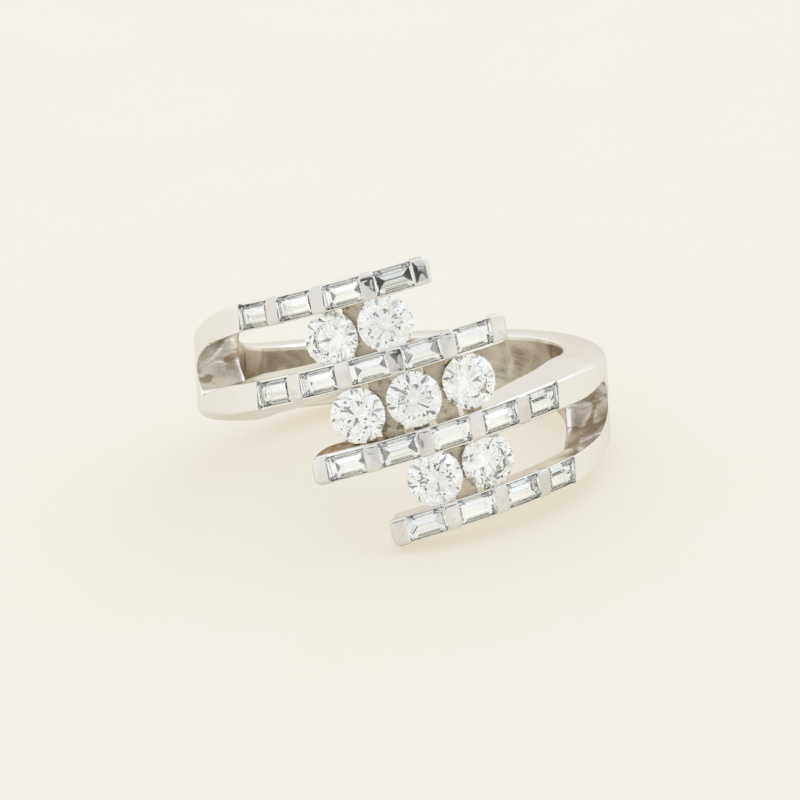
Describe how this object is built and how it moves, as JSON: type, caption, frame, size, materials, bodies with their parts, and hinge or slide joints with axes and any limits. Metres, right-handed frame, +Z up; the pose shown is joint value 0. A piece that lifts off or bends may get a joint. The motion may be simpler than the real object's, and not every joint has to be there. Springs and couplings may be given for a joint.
{
  "type": "crossover ring",
  "caption": "Finger ring whose forked shoulders send stone-set bars past one another across the front, with round stones between the bars.",
  "frame": {"origin": "centre of the finger hole", "axes": "+Z up as the ring lies on its side, which leans the finger axis 16 degrees back; -Y towards the stones; +X to the right seen from the stones"},
  "size_m": [0.0218, 0.0233, 0.0149],
  "materials": {
    "white_gold": "polished rhodium-plated white gold",
    "diamond": "polished facets"
  },
  "bodies": {
    "root": {"ring_metal": "white_gold", "top_baguette_1": "diamond", "top_baguette_2": "diamond", "top_baguette_3": "diamond", "top_baguette_4": "diamond", "upper_baguette_1": "diamond", "upper_baguette_2": "diamond", "upper_baguette_3": "diamond", "upper_baguette_4": "diamond", "upper_baguette_5": "diamond", "lower_baguette_1": "diamond", "lower_baguette_2": "diamond", "lower_baguette_3": "diamond", "lower_baguette_4": "diamond", "lower_baguette_5": "diamond", "bottom_baguette_1": "diamond", "bottom_baguette_2": "diamond", "bottom_baguette_3": "diamond", "bottom_baguette_4": "diamond", "upper_round_1": "diamond", "upper_round_2": "diamond", "middle_round_1": "diamond", "middle_round_2": "diamond", "middle_round_3": "diamond", "lower_round_1": "diamond", "lower_round_2": "diamond"}
  },
  "joints": []
}
